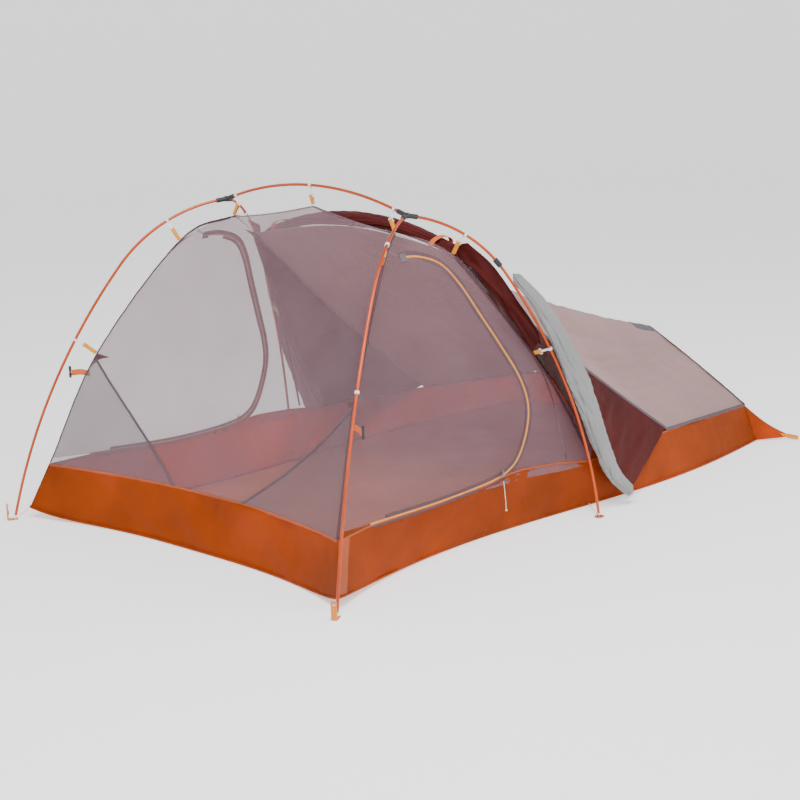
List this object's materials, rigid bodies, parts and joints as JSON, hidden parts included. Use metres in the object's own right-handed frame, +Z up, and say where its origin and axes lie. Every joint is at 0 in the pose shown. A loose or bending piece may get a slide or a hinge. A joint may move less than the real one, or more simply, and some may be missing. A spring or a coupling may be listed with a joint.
{
  "type": "tent on poles",
  "caption": "Freestanding hubbed-pole tent with a mesh dome, two side doors, bathtub floor, low solid foot roof and rolled-back fly.",
  "frame": {"origin": "on the ground under the middle of the overall length and width", "axes": "+X from the head end to the foot end, +Y to the left side, +Z up"},
  "size_m": [2.5388, 1.5318, 1.0822],
  "materials": {
    "pole_tube": "orange anodised tube",
    "hub_plastic": "black moulded nylon",
    "tip_plastic": "pale moulded nylon",
    "foot_plastic": "yellow-orange moulded",
    "cleat_plastic": "brown-orange moulded",
    "tie_cord": "thin braided cord",
    "ferrule_metal": "bright drawn tube",
    "shock_cord": "braided over elastic",
    "clip_plastic": "clear to milky moulded",
    "webbing": "yellow-orange woven tape",
    "floor_cloth": "coated orange ripstop",
    "mesh_cloth": "fine see-through mesh",
    "zip_tape": "yellow-orange coil on mauve tape",
    "slider_metal": "painted zinc",
    "pull_cord": "thin pale cord",
    "side_cloth": "maroon coated nylon",
    "roof_cloth": "warm grey coated nylon",
    "fly_light": "cool grey coated nylon, rolled",
    "fly_dark": "maroon coated nylon, rolled",
    "toggle_plastic": "black moulded",
    "tie_tape": "orange grosgrain",
    "wrap_tape": "black hook and loop",
    "strut_rod": "thin tube with plastic ends"
  },
  "bodies": {
    "pitched_tent": {"ridge_pole_right": "pole_tube", "leg_head_right_upper": "pole_tube", "leg_head_right_lower": "pole_tube", "cord_head_right": "tie_cord", "leg_rear_right_upper": "pole_tube", "leg_rear_right_lower": "pole_tube", "cord_rear_right": "tie_cord", "hub_right": "hub_plastic", "foot_head_right": "foot_plastic", "foot_rear_right": "cleat_plastic", "wall_right": "floor_cloth", "mesh_side_right": "mesh_cloth", "zip_track_right": "zip_tape", "side_panel_right": "side_cloth", "fly_drop_right": "fly_light", "ridge_pole_left": "pole_tube", "leg_head_left_upper": "pole_tube", "leg_head_left_lower": "pole_tube", "cord_head_left": "tie_cord", "leg_rear_left_upper": "pole_tube", "leg_rear_left_lower": "pole_tube", "cord_rear_left": "tie_cord", "hub_left": "hub_plastic", "foot_head_left": "foot_plastic", "foot_rear_left": "cleat_plastic", "wall_left": "floor_cloth", "mesh_side_left": "mesh_cloth", "zip_track_left": "zip_tape", "side_panel_left": "side_cloth", "fly_drop_left": "fly_light", "pole_ferrules": "ferrule_metal", "shock_cords": "shock_cord", "pole_tips": "tip_plastic", "ridge_clips": "clip_plastic", "head_leg_clips": "clip_plastic", "rear_leg_clips": "clip_plastic", "ridge_straps": "webbing", "head_leg_straps": "webbing", "rear_leg_straps": "webbing", "floor_sheet": "floor_cloth", "wall_head": "floor_cloth", "wall_foot": "floor_cloth", "foot_end_panel": "roof_cloth", "mesh_head": "mesh_cloth", "mesh_roof": "mesh_cloth", "foot_roof": "roof_cloth", "fly_over": "fly_dark", "foot_strut": "strut_rod", "corner_gussets": "floor_cloth", "stake_loops": "webbing", "pole_wraps": "wrap_tape", "tie_tabs": "tie_tape"},
    "door_right": {"door_right": "mesh_cloth"},
    "door_left": {"door_left": "mesh_cloth"},
    "slider_right": {"slider_right": "slider_metal", "pull_cord_right": "pull_cord"},
    "slider_left": {"slider_left": "slider_metal", "pull_cord_left": "pull_cord"},
    "toggle_right": {"door_toggle_right": "toggle_plastic"},
    "toggle_left": {"door_toggle_left": "toggle_plastic"}
  },
  "joints": [
    {"name": "door_right_swing", "type": "hinge", "parent": "pitched_tent", "child": "door_right", "pos_m": [-1.0918, -0.67683, 0.205], "axis": [-0.4723, -0.2553, -0.8437], "range_deg": [0, 100]},
    {"name": "slider_right_run", "type": "slide", "parent": "pitched_tent", "child": "slider_right", "axis": [-0.9983, -0.0421, -0.0394], "range_m": [0, 0.421]},
    {"name": "toggle_right_turn", "type": "hinge", "parent": "pitched_tent", "child": "toggle_right", "pos_m": [-1.0434, -0.6695, 0.47], "axis": [-0.33, -0.944, 0], "range_deg": [-90, 90]},
    {"name": "door_left_swing", "type": "hinge", "parent": "pitched_tent", "child": "door_left", "pos_m": [-1.0918, 0.67683, 0.205], "axis": [0.4723, -0.2553, 0.8437], "range_deg": [0, 100]},
    {"name": "slider_left_run", "type": "slide", "parent": "pitched_tent", "child": "slider_left", "axis": [-0.9983, 0.0421, -0.0394], "range_m": [0, 0.421]},
    {"name": "toggle_left_turn", "type": "hinge", "parent": "pitched_tent", "child": "toggle_left", "pos_m": [-1.0434, 0.6695, 0.47], "axis": [-0.33, 0.944, 0], "range_deg": [-90, 90]}
  ]
}
